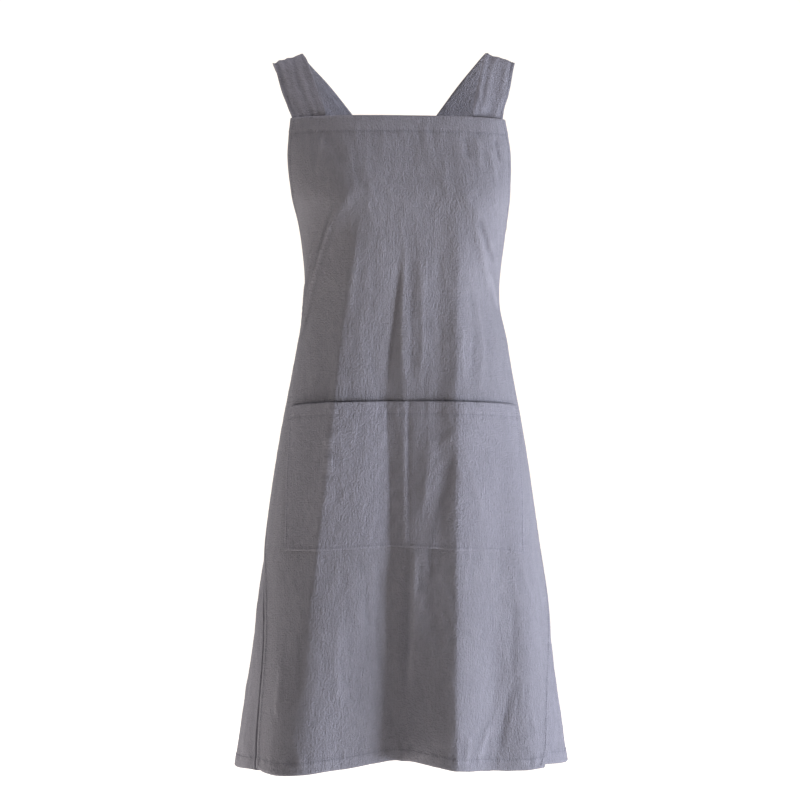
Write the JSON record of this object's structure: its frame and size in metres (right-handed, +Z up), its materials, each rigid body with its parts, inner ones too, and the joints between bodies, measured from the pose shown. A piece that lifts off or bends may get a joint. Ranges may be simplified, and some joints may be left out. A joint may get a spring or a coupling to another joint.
{
  "type": "cross back apron",
  "caption": "Sleeveless pinafore apron in washed linen: square bib, flared skirt, a wide divided front pocket, open back and broad shoulder straps that cross behind.",
  "frame": {"origin": "midway between the two shoulder tops, level with the underside of the straps where they rest on the wearer's shoulders", "axes": "+Z up; -Y is the side the apron's front faces; +X is the right side as seen from the front"},
  "size_m": [0.4795, 0.3019, 1.0239],
  "materials": {
    "front_linen": "washed linen and cotton cloth, violet grey, plain weave",
    "left_panel_linen": "washed linen and cotton cloth, violet grey, plain weave",
    "right_panel_linen": "washed linen and cotton cloth, violet grey, plain weave",
    "pocket_linen": "washed linen and cotton cloth, violet grey, plain weave",
    "left_strap_linen": "washed linen and cotton cloth, doubled into a strap",
    "right_strap_linen": "washed linen and cotton cloth, doubled into a strap"
  },
  "bodies": {
    "root": {"front_panel": "front_linen", "back_panel_left": "left_panel_linen", "back_panel_right": "right_panel_linen", "pocket": "pocket_linen", "strap_left": "left_strap_linen", "strap_right": "right_strap_linen"}
  },
  "joints": []
}
